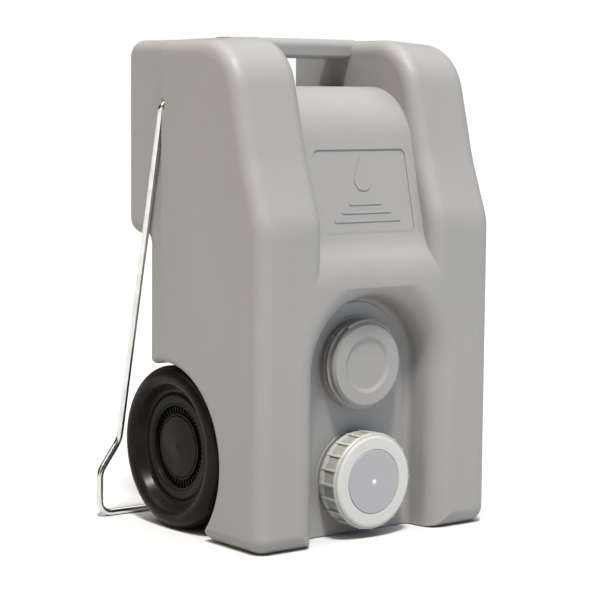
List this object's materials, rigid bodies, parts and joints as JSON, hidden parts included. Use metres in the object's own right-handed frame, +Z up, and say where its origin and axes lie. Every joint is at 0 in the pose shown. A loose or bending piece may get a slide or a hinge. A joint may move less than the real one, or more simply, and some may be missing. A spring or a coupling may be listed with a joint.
{
  "type": "portable waste tote",
  "caption": "Upright wheeled waste-water tote: blow-moulded tank with a moulded grip, screw drain cap, moulded-shut upper neck, plastic wheels and a swinging wire bail.",
  "frame": {"origin": "on the floor, under the middle of the overall box, bail included", "axes": "+Z up, the front with the necks faces -Y, X across the tote along the axle"},
  "size_m": [0.3644, 0.2678, 0.5259],
  "materials": {
    "tank_grey": "satin blow-moulded polyethylene with a fine grain",
    "cap_white": "natural translucent polyethylene, satin",
    "disc_grey": "satin moulded polyethylene",
    "seal_rubber": "soft black",
    "tyre_black": "glossy blow-moulded",
    "hub_black": "glossy moulded",
    "bush_white": "natural nylon",
    "axle_steel": "zinc plated",
    "bail_steel": "bright plated wire"
  },
  "bodies": {
    "tank": {"tank_shell": "tank_grey", "axle_rod": "axle_steel", "axle_spacers": "axle_steel", "axle_lock_washers": "axle_steel"},
    "cap_insert": {"drain_cap_disc": "disc_grey", "drain_cap_seal": "seal_rubber"},
    "cap_ring": {"drain_cap_ring": "cap_white"},
    "wheel_left": {"wheel_left_tyre": "tyre_black", "wheel_left_hub": "hub_black", "wheel_left_bush": "bush_white", "wheel_left_cap": "hub_black"},
    "wheel_right": {"wheel_right_tyre": "tyre_black", "wheel_right_hub": "hub_black", "wheel_right_bush": "bush_white", "wheel_right_cap": "hub_black"},
    "bail": {"bail_wire": "bail_steel"}
  },
  "joints": [
    {"name": "wheel_left_spin", "type": "hinge", "parent": "tank", "child": "wheel_left", "pos_m": [-0.131, 0.03662, 0.088], "axis": [1, 0, 0], "continuous": true},
    {"name": "wheel_right_spin", "type": "hinge", "parent": "tank", "child": "wheel_right", "pos_m": [0.131, 0.03662, 0.088], "axis": [1, 0, 0], "continuous": true},
    {"name": "bail_swing", "type": "hinge", "parent": "tank", "child": "bail", "pos_m": [0, 0.04612, 0.454], "axis": [1, 0, 0], "range_deg": [0, 155]},
    {"name": "cap_draw", "type": "slide", "parent": "tank", "child": "cap_insert", "axis": [0, -1, 0], "range_m": [0, 0.0181]},
    {"name": "cap_turn", "type": "hinge", "parent": "cap_insert", "child": "cap_ring", "pos_m": [0, -0.11388, 0.0605], "axis": [0, -1, 0], "range_deg": [0, 1080]}
  ],
  "couplings": [
    {"joint": "cap_draw", "follows": "cap_turn", "m_per_rad": 0.00095493}
  ]
}
